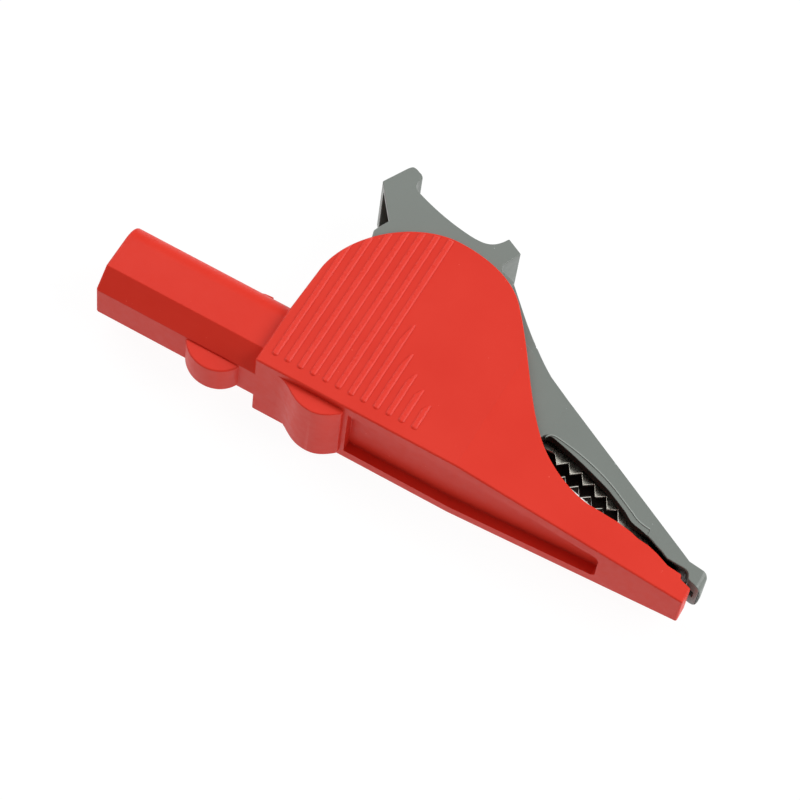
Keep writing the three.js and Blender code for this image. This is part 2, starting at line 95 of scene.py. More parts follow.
SLEEVE_HIGH = 5.8
SLEEVE_WIDE = 5.7
SLEEVE_CHAMFER = 2.75
SLEEVE_CROWN = 3.6
SHROUD_BORE = 4.1
SHROUD_DEPTH = 20
SEAT_BORE = 3.35

RIBS = {"count": 12, "first": 27.3, "pitch": 1.98, "width": 0.9, "height": 0.2, "low": -3.9}
SHORT_RIBS = [(10.4, 3.0), (6.3, 2.6), (3.8, 1.8), (2.1, 1.3), (0.5, 1.2)]  # upper ends and their tapers

# The socket's insulating post and the contact in it.
POST = {"front": 4.8, "radius": 3.1, "bore": 2.5, "lip": 2.15, "flange": 4.0}
CONTACT = {
    "front": 5.6, "radius": 2.4, "bore": 2.02, "floor": 24, "rear": 29.0, "flange": 3.3, "thread": 1.1,
}

# The hinge and the jaws on it, which are bent from sheet.
PIVOT = (44, 8)
PIN_RADIUS = 1.5
PIN_CLEARANCE = 0.06
SHEET = 0.7
TAB_REAR = CONTACT["rear"] + GAP
TAB_FRONT = TAB_REAR + SHEET
LOWER_JAW_SIDES = ((64, 2.4), (92, 1.2))  # half-widths along the toothed walls

COARSE = {"count": 6, "first_tip": 67.15, "pitch": 2.27, "steep": 0.95, "depth": 1.3}
FINE = {"count": 6, "first_tip": 80.55, "pitch": 1.5, "depth": 0.8}
FINE_SLOPE = -0.21
TEETH_APART = 0.45

# The lever: its tail behind the shoulder, and its nose over the upper jaw.
LEVER_HALF = 5.95
LEVER_WALL = 0.9
LEVER_NOSE_WALL = 1.6
LEVER_FRONT_WALL = 0.5
SHOULDER = 0.6
STEP_END = {"rear": 56.5, "front": 66, "low": 11}  # where the shoulder's step runs out
EYE = {"rear": 64.3, "front": 83.4, "step": 0.1}
# A thin strip along the eye's crease, coloured a paler grey as a painted highlight.
PAINTED_CREASE_LINE = {"width": 0.17, "height": 0.03}
NOSE = {"start": 64.5, "half": 4.85, "front": 91.9, "front_half": 2.81}
NOSE_BACK = ((64.8, 12), (88.6, 0.62))

SPRING = {"wire": 0.5, "radius": 2.95, "turns": 3.5, "pitch": 1.15}

# How fine the meshes are, and which of their edges are rounded or shaded smoothly.
TURNED_STEPS = 96
WIRE_SIDES = 14
WELD = 1e-4
FLAT_WITHIN = 0.4  # degrees
ROUND_ABOVE = 28  # degrees
SMOOTH_BELOW = 35  # degrees
LARGE_AREA = 12  # square millimetres: faces of one direction, this large in all, are shaded flat

# Where the drawing's origin lies in the frame, from the frame's own boxes.
whole_low, whole_high = cad_box
ORIGIN = Vector((
    whole_low.x / MM - MOUTH,
    whole_low.y / MM - BOTTOM,
    (whole_low.z + whole_high.z) / 2 / MM,
))


# ---- Outlines ----


class Outline:
    """A closed outline, drawn from point to point."""

    def __init__(self, x, y):
        self.points = [(x, y)]

    def line(self, *points):
        self.points.extend(points)
        return self

    def curve(self, first, second, end, steps=28):
        start = self.points[-1]
        for i in range(1, steps + 1):
            t = i / steps
            weights = ((1 - t) ** 3, 3 * t * (1 - t) ** 2, 3 * t * t * (1 - t), t**3)
            corners = (start, first, second, end)
            self.points.append(tuple(sum(w * c[k] for w, c in zip(weights, corners)) for k in (0, 1)))
        return self

    def bend(self, middle, end, steps=12):
        start = self.points[-1]
        first = tuple(s + (m - s) * 2 / 3 for s, m in zip(start, middle))
        second = tuple(e + (m - e) * 2 / 3 for e, m in zip(end, middle))
        return self.curve(first, second, end, steps)

    def arc(self, centre, radius, start, end, steps=40):
        for i in range(steps + 1):
            angle = start + (end - start) * i / steps
            self.points.append((centre[0] + radius * math.cos(angle), centre[1] + radius * math.sin(angle)))
        return self


def symmetric_plan(stations):
    """A plan (x, z) symmetric about the middle plane, from its half-widths along x."""
    return stations + [(x, -half) for x, half in reversed(stations)]


# ---- Solids ----


def new_piece(name, bm):
    """The bmesh as an object of its own, with its faces pointing out."""
    bmesh.ops.recalc_face_normals(bm, faces=bm.faces)
    mesh = bpy.data.meshes.new(name)
    bm.to_mesh(mesh)
    bm.free()
    piece = bpy.data.objects.new(name, mesh)
    scene.collection.objects.link(piece)
    return piece


def prism(points, to_space, low, high):
    """An outline drawn at low and at high, with walls between the two."""
    bm = bmesh.new()
    lower = [bm.verts.new(to_space(a, b, low)) for a, b in points]
    upper = [bm.verts.new(to_space(a, b, high)) for a, b in points]
    bm.faces.new(lower)
    bm.faces.new(upper)
    for i in range(len(points)):
        j = (i + 1) % len(points)
        bm.faces.new((lower[i], lower[j], upper[j], upper[i]))
    return new_piece("solid", bm)


def side_solid(outline, half=FAR):
    """A side outline (x, y), as thick as twice half across the clip."""
    points = outline.points if isinstance(outline, Outline) else outline
    return prism(points, lambda x, y, z: (x, y, z), -half, half)


def plan_solid(points, low=-FAR, high=FAR):
    """A plan outline (x, z) that stands from low to high."""
    return prism(points, lambda x, z, y: (x, y, z), low, high)


def section_solid(points, start, end):
    """A section (y, z) that runs along x from start to end."""
    return prism(points, lambda y, z, x: (x, y, z), start, end)


def turned(profile, to_space):
    """A closed profile of (radius, place) turned round an axis. Radius 0 makes one point on the axis."""
    bm = bmesh.new()
    rings = []
    for radius, place in profile:
        if radius == 0:
            rings.append([bm.verts.new(to_space(0, 0, place))] * TURNED_STEPS)
            continue
        ring = []
        for i in range(TURNED_STEPS):
            angle = 2 * math.pi * i / TURNED_STEPS
            ring.append(bm.verts.new(to_space(radius * math.cos(angle), radius * math.sin(angle), place)))
        rings.append(ring)
    pairs = list(zip(rings, rings[1:]))
    if profile[0][0] > 0:
        pairs.append((rings[-1], rings[0]))
    for first, second in pairs:
        for i in range(TURNED_STEPS):
            j = (i + 1) % TURNED_STEPS
            corners = []
            for corner in (first[i], first[j], second[j], second[i]):
                if corner not in corners:
                    corners.append(corner)
            if len(corners) > 2:
                bm.faces.new(corners)
    return new_piece("turned", bm)


def along_x(a, b, place):
    return (place, a, b)


def along_pivot(a, b, place):
    return (PIVOT[0] + a, PIVOT[1] + b, place)


def rod(radius, start, end):
    """A plain rod's profile, to be turned."""
    return [(0, start), (radius, start), (radius, end), (0, end)]


def applied(piece):
    """Replaces the piece's mesh by its modified one."""
    graph = bpy.context.evaluated_depsgraph_get()
    mesh = bpy.data.meshes.new_from_object(piece.evaluated_get(graph))
    old = piece.data
    piece.modifiers.clear()
    piece.data = mesh
    bpy.data.meshes.remove(old)
    return piece


def combined(base, tool, operation):
    """The base after the operation with the tool, which is used up."""
    modifier = base.modifiers.new("join", "BOOLEAN")
    modifier.operation = operation
    modifier.solver = "MANIFOLD"
    modifier.object = tool
    applied(base)
    bpy.data.objects.remove(tool)
    return base


def joined(base, *tools):
    for tool in tools:
        combined(base, tool, "UNION")
    return base


def cut(base, *tools):
    for tool in tools:
        combined(base, tool, "DIFFERENCE")
    return base


def common(base, tool):
    return combined(base, tool, "INTERSECT")


def cleaned_mesh(piece):
    """The piece's mesh with its flat faces whole again, each as one polygon."""
    bm = bmesh.new()
    bm.from_mesh(piece.data)
    bmesh.ops.remove_doubles(bm, verts=bm.verts, dist=WELD)
    bmesh.ops.dissolve_limit(bm, angle_limit=math.radians(FLAT_WITHIN), verts=bm.verts, edges=bm.edges)
    return bm


def rounded(piece, width, segments=3, angle=ROUND_ABOVE, where=None):
    """Rounds every edge sharper than the angle, or only those whose middle passes the test."""
    bm = cleaned_mesh(piece)
    weights = bm.edges.layers.float.new("bevel_weight_edge")
    for edge in bm.edges:
        sharp = len(edge.link_faces) == 2 and edge.calc_face_angle() > math.radians(angle)
        middle = (edge.verts[0].co + edge.verts[1].co) / 2
        edge[weights] = 1.0 if sharp and (where is None or where(*middle)) else 0.0
    bm.to_mesh(piece.data)
    bm.free()
    modifier = piece.modifiers.new("round", "BEVEL")
    modifier.width = width
    modifier.segments = segments
    modifier.limit_method = "WEIGHT"
    modifier.use_clamp_overlap = False
    modifier.miter_outer = "MITER_ARC"
    applied(piece)
    piece.data.attributes.remove(piece.data.attributes["bevel_weight_edge"])
    return piece


def merged(pieces):
    """Several separate solids as one mesh."""
    bm = bmesh.new()
    for piece in pieces:
        bm.from_mesh(piece.data)
        bpy.data.objects.remove(piece)
    return new_piece("merged", bm)


def direction(face):
    """The way that a face points, coarse enough to be shared by a flat face's parts."""
    return tuple(round(part, 2) for part in face.normal)


def soften(mesh):
    """Shades rounded edges smoothly, and keeps the faces flat whose direction has a large area in all."""
    mesh.shade_smooth()
    least = math.cos(math.radians(SMOOTH_BELOW))
    areas = {}
    for face in mesh.polygons:
        areas[direction(face)] = areas.get(direction(face), 0) + face.area
    around = [[] for _ in mesh.vertices]
    for face in mesh.polygons:
        for vertex in face.vertices:
            around[vertex].append((face.normal.copy(), areas[direction(face)]))
    normals = []
    for face in mesh.polygons:
        if areas[direction(face)] > LARGE_AREA * MM * MM:
            normals.extend([face.normal.copy()] * len(face.vertices))
            continue
        for vertex in face.vertices:
            total = Vector()
            for normal, weight in around[vertex]:
                if normal.dot(face.normal) > least:
                    total += normal * weight
            normals.append(total.normalized() if total.length > 0 else face.normal)
    mesh.normals_split_custom_set(normals)


def place(piece, name, body, node, slot, material):
    """Moves a finished piece into the frame and hands it to its body, if it rides on one alone."""
    piece.name = name
    bm = cleaned_mesh(piece)
    bm.to_mesh(piece.data)
    bm.free()
    piece.data.name = name
    piece.data.transform(Matrix.Scale(MM, 4) @ Matrix.Translation(ORIGIN))
    soften(piece.data)
    piece.data.materials.clear()
    piece.data.materials.append(material)
    if body:
        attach(piece, body)
    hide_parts(node)
    return piece


# ---- Materials ----


class Nodes:
    """A short way to write a material's node tree."""

    def __init__(self, name):
        self.material = bpy.data.materials.new(name)
        self.material.use_nodes = True
        self.tree = self.material.node_tree
        self.shader = self.tree.nodes["Principled BSDF"]
        self.place = self.tree.nodes.new("ShaderNodeTexCoord").outputs["Object"]

    def node(self, kind, inputs=None, **settings):
        node = self.tree.nodes.new(kind)
        for key, value in settings.items():
            setattr(node, key, value)
        for key, value in (inputs or {}).items():
            self.set(node.inputs[key], value)
        return node

    def set(self, socket, value):
        if isinstance(value, bpy.types.NodeSocket):
            self.tree.links.new(value, socket)
        else:
            socket.default_value = value

    def noise(self, size, detail=2, roughness=0.5, stretch=None):
        """Noise whose features are about size millimetres, optionally stretched along the axes."""
        vector = self.place
        if stretch:
            vector = self.node("ShaderNodeMapping", {"Vector": self.place, "Scale": stretch}).outputs[0]
        return self.node("ShaderNodeTexNoise", {
            "Vector": vector, "Scale": 1 / (size * MM), "Detail": detail, "Roughness": roughness,
        }).outputs["Fac"]

    def between(self, value, start, end, low=0.0, high=1.0):
        return self.node("ShaderNodeMapRange", {
            "Value": value, "From Min": start, "From Max": end, "To Min": low, "To Max": high,
        }).outputs[0]

    def math(self, operation, *values):
        return self.node("ShaderNodeMath", dict(enumerate(values)), operation=operation).outputs[0]

    def mix(self, factor, first, second):
        node = self.node("ShaderNodeMix", data_type="RGBA")
        for socket, value in ((node.inputs[0], factor), (node.inputs[6], first), (node.inputs[7], second)):
            self.set(socket, value)
        return node.outputs[2]

    def bump(self, height, strength, distance, normal=None):
        inputs = {"Height": height, "Strength": strength, "Distance": distance * MM}
        if normal:
            inputs["Normal"] = normal
        return self.node("ShaderNodeBump", inputs).outputs[0]

    def to_shader(self, **inputs):
        for key, value in inputs.items():
            self.set(self.shader.inputs[key.replace("_", " ")], value)
        return self.material


def colour(r, g, b):
    return (r, g, b, 1)


# Painted shade: a dull dark brown with no gloss, put on the inner faces of the jaws and of the lever's
# nose.
PAINTED_SHADE_COLOUR = colour(0.045, 0.038, 0.033)
PAINTED_SHADE_FADE = (0.13, 0.3)  # depths inside the walls over which the painted shade sets in
NOSE_PAINTED_SHADE = {"rear": (60, 62), "front": (87.5, 89), "under": (0.5, 0.8)}
POLISHED = colour(0.80, 0.042, 0.024)
POLISHED_FROM = (0.04, 0.08)  # heights above the cheek over which the polish sets in
POLISHED_SMOOTHER = 0.14


def off_middle(nodes):
    """How far a point lies from the middle plane."""
    z = nodes.node("ShaderNodeSeparateXYZ", {0: nodes.place}).outputs[2]
    return nodes.math("ABSOLUTE", nodes.math("SUBTRACT", z, ORIGIN.z * MM))


def along(x):
    """A place along the clip, in the frame's metres."""
    return (x + ORIGIN.x) * MM


def inside(nodes, rear, front):
    """1 where a point lies inside the walls, whose outer half-widths two stations (x, half) give."""
    x = nodes.node("ShaderNodeSeparateXYZ", {0: nodes.place}).outputs[0]
    half = nodes.between(x, along(rear[0]), along(front[0]), rear[1] * MM, front[1] * MM)
    depth = nodes.math("SUBTRACT", half, off_middle(nodes))
    return nodes.between(depth, *(limit * MM for limit in PAINTED_SHADE_FADE))


def nose_painted_shade(nodes):
    """1 on the inside of the lever's nose, between its walls and under its back: where shade is painted in.
    """
    (rear, rear_top), (front, front_top) = NOSE_BACK
    x, y, _ = nodes.node("ShaderNodeSeparateXYZ", {0: nodes.place}).outputs
    tops = ((top + ORIGIN.y) * MM for top in (rear_top, front_top))
    back = nodes.between(x, along(rear), along(front), *tops)
    under = nodes.between(nodes.math("SUBTRACT", back, y), *(limit * MM for limit in NOSE_PAINTED_SHADE["under"]))
    ahead = nodes.between(x, *(along(station) for station in NOSE_PAINTED_SHADE["rear"]))
    behind = nodes.between(x, *(along(station) for station in NOSE_PAINTED_SHADE["front"]), 1.0, 0.0)
    walls = inside(nodes, (NOSE["start"], NOSE["half"]), (NOSE["front"], NOSE["front_half"]))
    across = nodes.math("MULTIPLY", walls, under)
    return nodes.math("MULTIPLY", across, nodes.math("MULTIPLY", ahead, behind))


def rib_tops(nodes):
    """1 on the cheeks' ribs."""
    return nodes.between(off_middle(nodes), *((BODY_HALF + height) * MM for height in POLISHED_FROM))


def moulded_plastic(name, main, deep, pale, rough, gloss, painted_shade=None, polished=None):
    """Satin moulded plastic: fine spark-eroded grain, slow shade changes and a few pale specks.

    painted_shade and polished are masks: where shade is painted in as a dull dark brown, and where it is
    worn smooth.
    """
    nodes = Nodes(name)
    slow = nodes.between(nodes.noise(14, 3), 0.35, 0.65)
    shade = nodes.mix(slow, deep, main)
    specks = nodes.between(nodes.noise(0.55, 1), 0.79, 0.84)
    shade = nodes.mix(specks, shade, pale)
    if painted_shade:
        # Painted shade: the mask turns the surface dull dark brown and takes its gloss away.
        mask = painted_shade(nodes)
        shade = nodes.mix(mask, shade, PAINTED_SHADE_COLOUR)
        gloss = nodes.between(mask, 0, 1, gloss, 0)
    grain = nodes.bump(nodes.noise(0.22, 4, 0.6), 0.10, 0.03)
    normal = nodes.bump(nodes.noise(3.5, 2), 0.06, 0.08, grain)
    roughness = nodes.between(nodes.noise(1.1, 4), 0.3, 0.7, rough - 0.05, rough + 0.07)
    if polished:
        mask = polished(nodes)
        shade = nodes.mix(mask, shade, POLISHED)
        roughness = nodes.math("SUBTRACT", roughness, nodes.math("MULTIPLY", mask, POLISHED_SMOOTHER))
    return nodes.to_shader(Base_Color=shade, Roughness=roughness, Normal=normal, Specular_IOR_Level=gloss)


def plated_sheet(name, main, dull, rough):
    """Nickel plate on sheet steel: fine rolling lines and cloudiness, and painted shade on the inside, dark
    brown and not metallic.
    """
    nodes = Nodes(name)
    cloud = nodes.between(nodes.noise(2.2, 4), 0.35, 0.7)
    shade = nodes.mix(cloud, main, dull)
    # Painted shade: the channels' inner faces turn dull dark brown, not metallic and without gloss.
    painted_shade = inside(nodes, *LOWER_JAW_SIDES)
    shade = nodes.mix(painted_shade, shade, PAINTED_SHADE_COLOUR)
    metal = nodes.between(painted_shade, 0, 1, 1, 0)
    lines = nodes.noise(0.5, 3, 0.6, (0.06, 1, 1))
    normal = nodes.bump(lines, 0.12, 0.02)
    roughness = nodes.between(nodes.noise(0.8, 3), 0.3, 0.7, rough - 0.06, rough + 0.1)
    return nodes.to_shader(
        Base_Color=shade, Metallic=metal, Specular_IOR_Level=metal, Roughness=roughness, Normal=normal)


def turned_metal(name, main, dull, rough):
    """Machined metal with fine tool lines, which ring the parts that lie along the clip."""
    nodes = Nodes(name)
    shade = nodes.mix(nodes.between(nodes.noise(1.5, 3), 0.3, 0.7), main, dull)
    lines = nodes.noise(0.12, 2, 0.5, (1, 0.2, 0.2))
    normal = nodes.bump(lines, 0.1, 0.01)
    roughness = nodes.between(nodes.noise(0.6, 3), 0.3, 0.7, rough - 0.05, rough + 0.08)
    return nodes.to_shader(Base_Color=shade, Metallic=1.0, Roughness=roughness, Normal=normal)


RED = moulded_plastic(
    "red_plastic",
    main=colour(0.745, 0.038, 0.020),
    deep=colour(0.715, 0.032, 0.016),
    pale=colour(0.90, 0.14, 0.10),
    rough=0.42,
    gloss=0.2,
    polished=rib_tops,
)
GREY = moulded_plastic(
    "grey_plastic",
    main=colour(0.190, 0.211, 0.192),
    deep=colour(0.180, 0.200, 0.182),
    pale=colour(0.38, 0.42, 0.40),
    rough=0.34,
    gloss=0.5,
    # the inside of the nose gets painted shade
    painted_shade=nose_painted_shade,
)
# A paler grey for the strip along the eye's crease: a painted highlight.
PAINTED_HIGHLIGHT_GREY = moulded_plastic(
    "grey_plastic_painted_highlight",
    main=colour(0.33, 0.36, 0.335),
    deep=colour(0.27, 0.30, 0.275),
    pale=colour(0.42, 0.46, 0.43),
    rough=0.34,
    gloss=0.5,
)
NICKEL = plated_sheet("nickel_plate", colour(0.78, 0.76, 0.67), colour(0.64, 0.62, 0.54), 0.24)
STEEL = turned_metal("spring_steel", colour(0.58, 0.58, 0.57), colour(0.40, 0.40, 0.40), 0.28)
BRASS = turned_metal("contact_metal", colour(0.78, 0.62, 0.34), colour(0.60, 0.46, 0.24), 0.26)


# ---- Housing ----


def body_half(x):
    """The body's half-width at x."""
    share = max(0, x - TAPER_START) / (BODY_FRONT - TAPER_START)
    return BODY_HALF - share * (BODY_HALF - BODY_TIP_HALF)


def body_plan(inset, start, end):
    """The housing's body from above, drawn in by inset."""
    return symmetric_plan([
        (start, BODY_HALF - inset),
        (TAPER_START, BODY_HALF - inset),
        (end, body_half(end) - inset),
    ])


def cheek_outline():
    """A cheek from the side: its underside, the nose's upper edge, and back over the dome."""
    shape = Outline(BODY_REAR, BODY_BOTTOM)
    shape.line((TAPER_START, BODY_BOTTOM), (BODY_FRONT, BODY_BOTTOM - 0.2), (BODY_FRONT, -3.45))
    shape.line((89.75, -2.95), (89.6, -2.3), (87.4, -2.2), (85.4, -1.48), (83.8, -1.08))
    shape.line((82.2, -1.0), (80.8, -0.66), (78.7, -0.42), (73.9, -0.38))
    shape.curve((70.5, 0), (66.6, 2.0), (64.1, 4.5))
    shape.curve((59.6, 9.1), (56.4, 15.2), (51.9, 20.7))
    shape.curve((49.2, 24.2), (44.2, 25.4), (39.8, 25.4))
    shape.curve((33, 25.3), (25.7, 18.4), (BODY_REAR + 0.35, 11.3), 40)
    return shape.line((BODY_REAR, 4))


def hollow_outline():
    """The room between the cheeks, open upwards."""
    rear = BODY_REAR + REAR_WALL
    return [
        (rear, -POST["flange"] - GAP),
        (CONTACT["rear"] + GAP, -POST["flange"] - GAP),
        (CONTACT["rear"] + GAP, FLOOR),
        (FLOOR_FALL[0], FLOOR),
        (FLOOR_FALL[1], NOSE_FLOOR),
        (BODY_FRONT - 1.2, NOSE_FLOOR),
        (BODY_FRONT - 1.2, FAR),
        (0, FAR),
        (0, 7.2),
        (rear, 7.2),
    ]


def sleeve():
    """The rear sleeve: flat below and at the sides, with chamfers between them, and crowned above."""
    crown_y = SLEEVE_HIGH - SLEEVE_CROWN
    crown_z = SLEEVE_WIDE - SLEEVE_CROWN
    shape = Outline(-SLEEVE_HIGH, SLEEVE_CHAMFER - SLEEVE_WIDE)
    shape.line((-SLEEVE_HIGH, SLEEVE_WIDE - SLEEVE_CHAMFER), (SLEEVE_CHAMFER - SLEEVE_HIGH, SLEEVE_WIDE))
    shape.arc((crown_y, crown_z), SLEEVE_CROWN, math.pi / 2, 0, 18)
    shape.arc((crown_y, -crown_z), SLEEVE_CROWN, 0, -math.pi / 2, 18)
    shape.line((SLEEVE_CHAMFER - SLEEVE_HIGH, -SLEEVE_WIDE))
    solid = section_solid(shape.points, MOUTH, BODY_REAR + 1)
    return rounded(rounded(solid, 0.42, 5, 60), 0.09, 2, 35)


def sleeve_stop():
    """The small finger stop under the sleeve."""
    dip = (BOTTOM - 0.25 * BODY_BOTTOM) / 0.75
    shape = Outline(14.1, BODY_BOTTOM + 2).line((14.1, BODY_BOTTOM))
    shape.curve((16, dip), (21.1, dip), (22.6, BODY_BOTTOM)).line((22.6, BODY_BOTTOM + 2))
    return rounded(side_solid(shape, 2.65), 0.25)


def body_stop():
    """The large finger stop under the housing's body."""
    low = BOTTOM + 0.15
    front = 39
    shape = Outline(28.3, BODY_BOTTOM + 2).line((28.3, BODY_BOTTOM))
    shape.curve((30.9, BODY_BOTTOM), (31.6, low), (35, low))
    shape.curve((36.6, low), (37.7, -7.5), (front, BODY_BOTTOM - 0.5)).line((front, BODY_BOTTOM + 2))
    return rounded(side_solid(shape, BODY_HALF - 1.15), 0.2)


def gate():
    """The moulding gate's flat nub on the sleeve, round at its rear."""
    radius, rear, front = 2.3, 18, 21.1
    plan = Outline(front, -radius).line((front, radius))
    plan.arc((rear + radius, 0), radius, math.pi / 2, 1.5 * math.pi)
    nub = plan_solid(plan.points, 4, 12)
    slope = [(rear - 1, 3), (front + 1, 3), (front + 1, SLEEVE_HIGH + 0.7), (rear - 1, SLEEVE_HIGH + 0.4)]
    return rounded(common(nub, side_solid(slope)), 0.15)


def cheek_top(x):
    """The height of the cheek's upper edge at x."""
    points = cheek_outline().points
    heights = []
    for (ax, ay), (bx, by) in zip(points, points[1:]):
        if bx < x <= ax:
            heights.append(ay + (by - ay) * (x - ax) / (bx - ax))
    return max(heights)


def rib_outline(index, inset):
    """One rib's outline, drawn in by inset all round."""
    right = RIBS["first"] + index * RIBS["pitch"] - inset
    left = right - RIBS["width"] + 2 * inset
    half = (right - left) / 2
    short = index - (RIBS["count"] - len(SHORT_RIBS))
    foot = RIBS["low"] + RIBS["width"] / 2
    shape = Outline(right, foot)
    if short < 0:
        shape.line(*((x, cheek_top(x) - CHEEK_RIM - inset) for x in (right, (right + left) / 2, left)))
    else:
        top, taper = SHORT_RIBS[short]
        top -= inset
        shape.line((right, top))
        shape.curve((right - 0.2, top - 0.1), (left + 0.1, top - 0.6 * taper), (left, top - taper), 8)
    return shape.arc((right - half, foot), half, math.pi, 2 * math.pi, 10)


def rib(index, side):
    """A raised grip rib on one cheek, with sloping edges."""
    levels = [(0, -0.4), (0, 0.06), (0.02, 0.08), (0.18, 0.175), (0.22, RIBS["height"])]
    bm = bmesh.new()
    rings = []
    for inset, height in levels:
        outline = rib_outline(index, inset).points
        rings.append([bm.verts.new((x, y, side * (BODY_HALF + height))) for x, y in outline])
    for first, second in zip(rings, rings[1:]):
        for k in range(len(first)):
            bm.faces.new((first[k], first[k - 1], second[k - 1], second[k]))
    bm.faces.new(rings[0])
    bm.faces.new(rings[-1])
    return new_piece("rib", bm)


def ribs():
    """All the ribs of both cheeks."""
    return merged([rib(index, side) for index in range(RIBS["count"]) for side in (1, -1)])


def underside_recess():
    """The shallow recess in the housing's underside."""
    rim = 1.9
    plan = symmetric_plan([
        (39.7, BODY_HALF - rim),
        (TAPER_START, BODY_HALF - rim),
        (78.4, body_half(78.4) - rim),
        (78.9, body_half(78.9) - rim - 0.5),
    ])
    return rounded(plan_solid(plan, BODY_BOTTOM - 3, BODY_BOTTOM + 1.5), 0.12)


def housing():
    shell = common(side_solid(cheek_outline()), plan_solid(body_plan(0, 20, 95)))
    hollow = common(side_solid(hollow_outline()), plan_solid(body_plan(CHEEK, 0, 95)))
    shell = rounded(cut(shell, hollow), 0.26)
    joined(shell, sleeve(), sleeve_stop(), body_stop(), gate(), ribs())
    shroud = [
        (0, MOUTH - 1),
        (SHROUD_BORE + 1.3, MOUTH - 1),
        (SHROUD_BORE, MOUTH + 0.3),
        (SHROUD_BORE, SHROUD_DEPTH),
        (0, SHROUD_DEPTH),
    ]
    cut(shell, underside_recess(), turned(shroud, along_x))
    cut(shell, turned(rod(SEAT_BORE, SHROUD_DEPTH - 1, BODY_REAR + REAR_WALL + 1), along_x))
    return place(shell, "housing_shell", "base", "housing", "red_plastic", RED)


# ---- Socket ----


def socket_insulator():
    """The plastic post round the contact, with the flange that it is held by."""
    seat = BODY_REAR + REAR_WALL + GAP
    rim = 0.2
    profile = [
        (POST["lip"] + rim, POST["front"]),
        (POST["radius"] - 0.55, POST["front"]),
        (POST["radius"] - 0.2, POST["front"] + 0.1),
        (POST["radius"], POST["front"] + 0.45),
        (POST["radius"], seat),
        (POST["flange"] - rim, seat),
        (POST["flange"], seat + rim),
        (POST["flange"], seat + 0.8),
        (POST["bore"], seat + 0.8),
        (POST["bore"], CONTACT["front"] - GAP),
        (POST["lip"], CONTACT["front"] - GAP),
        (POST["lip"], POST["front"] + rim),
    ]
    piece = turned(profile, along_x)
    return place(piece, "insulator_post", "base", "socket_insulator", "red_plastic", RED)


def contact_tube():
    """The turned contact, bored for the plug from the front and for the screw from the rear."""
    seat = BODY_REAR + REAR_WALL + 2 * GAP + 0.8
    profile = [
        (CONTACT["bore"] + 0.2, CONTACT["front"]),
        (CONTACT["radius"] - 0.08, CONTACT["front"]),
        (CONTACT["radius"], CONTACT["front"] + 0.08),
        (CONTACT["radius"], seat),
        (CONTACT["flange"] - 0.15, seat),
        (CONTACT["flange"], seat + 0.15),
        (CONTACT["flange"], CONTACT["rear"] - 0.15),
        (CONTACT["flange"] - 0.15, CONTACT["rear"]),
        (CONTACT["thread"] + 0.2, CONTACT["rear"]),
        (CONTACT["thread"], CONTACT["rear"] - 0.2),
        (CONTACT["thread"], CONTACT["floor"] + 1),
        (0, CONTACT["floor"] + 1),
        (0, CONTACT["floor"] - 0.4),
        (CONTACT["bore"] - 0.5, CONTACT["floor"]),
        (CONTACT["bore"], CONTACT["floor"]),
        (CONTACT["bore"], CONTACT["front"] + 0.3),
    ]
    piece = turned(profile, along_x)
    return place(piece, "plug_contact", "base", "contact_tube", "contact_metal", BRASS)


def lock_washer():
    """A split spring washer, cut through at one place."""
    rear, front = TAB_FRONT + 0.15, TAB_FRONT + 0.6
    profile = [(1.15, rear + 0.04), (1.22, rear), (1.68, rear), (1.75, rear + 0.07)]
    profile += [(1.75, front - 0.07), (1.68, front), (1.22, front), (1.15, front - 0.04)]
    piece = turned(profile, along_x)
    split = side_solid([(rear - 1, 1), (front + 1, 1.25), (front + 1, 3), (rear - 1, 2.75)], 0.08)
    return place(cut(piece, split), "washer_ring", "base", "lock_washer", "spring_steel", STEEL)


def contact_screw():
    """The slotted screw that holds the lower jaw's tab to the contact."""
    under = TAB_FRONT + 0.75
    piece = turned([
        (0, CONTACT["floor"] + 1.5),
        (0.7, CONTACT["floor"] + 1.5),
        (0.85, CONTACT["floor"] + 1.7),
        (0.85, under),
        (1.6, under),
        (1.7, under + 0.1),
        (1.7, under + 0.85),
        (1.6, under + 1.1),
        (1.35, under + 1.27),
        (1, under + 1.35),
        (0, under + 1.35),
    ], along_x)
    floor, half = under + 0.75, 0.25
    slot = side_solid([(floor, -half), (under + 2, -half), (under + 2, half), (floor, half)], 3)
    piece = rounded(cut(piece, slot), 0.05, 2)
    return place(piece, "tab_screw", "base", "contact_screw", "spring_steel", STEEL)


# ---- Jaws ----


def fine_meet(x):
    """The height at which the fine teeth meet."""
    return 0.13 + FINE_SLOPE * (x - 80)


def upper_teeth():
    """The upper jaw's teeth from the rear to the tip, as valley and tip in turn."""
    def valley_line(x):
        return 5.44 - 0.0178 * (x - 64.7) ** 2

    points = []
    for i in range(COARSE["count"]):
        tip = COARSE["first_tip"] + i * COARSE["pitch"]
        valley = tip - COARSE["steep"]
        points += [(valley, valley_line(valley)), (tip, valley_line(tip) - COARSE["depth"])]
    for i in range(FINE["count"]):
        tip = FINE["first_tip"] + i * FINE["pitch"]
        valley = tip - FINE["pitch"] / 2
        points.append((valley, fine_meet(valley) + TEETH_APART))
        points.append((tip, fine_meet(tip) + TEETH_APART - FINE["depth"]))
    return points


def lower_teeth():
    """The lower jaw's teeth from the rear to the tip, as crests with valleys beside them."""
    def crest_line(x):
        return 1.83 - 0.193 * (x - 71.1)

    points = []
    for i in range(COARSE["count"]):
        crest = COARSE["first_tip"] + (i - 0.25) * COARSE["pitch"]
        valley = crest - COARSE["pitch"] / 2
        points += [(valley, crest_line(valley) - COARSE["depth"]), (crest, crest_line(crest))]
    for i in range(FINE["count"]):
        crest = FINE["first_tip"] + (i - 0.5) * FINE["pitch"]
        valley = crest + FINE["pitch"] / 2
        points += [(crest, fine_meet(crest)), (valley, fine_meet(valley) - FINE["depth"])]
    return points


def pivot_hole():
    return turned(rod(PIN_RADIUS + PIN_CLEARANCE, -ACROSS, ACROSS), along_pivot)


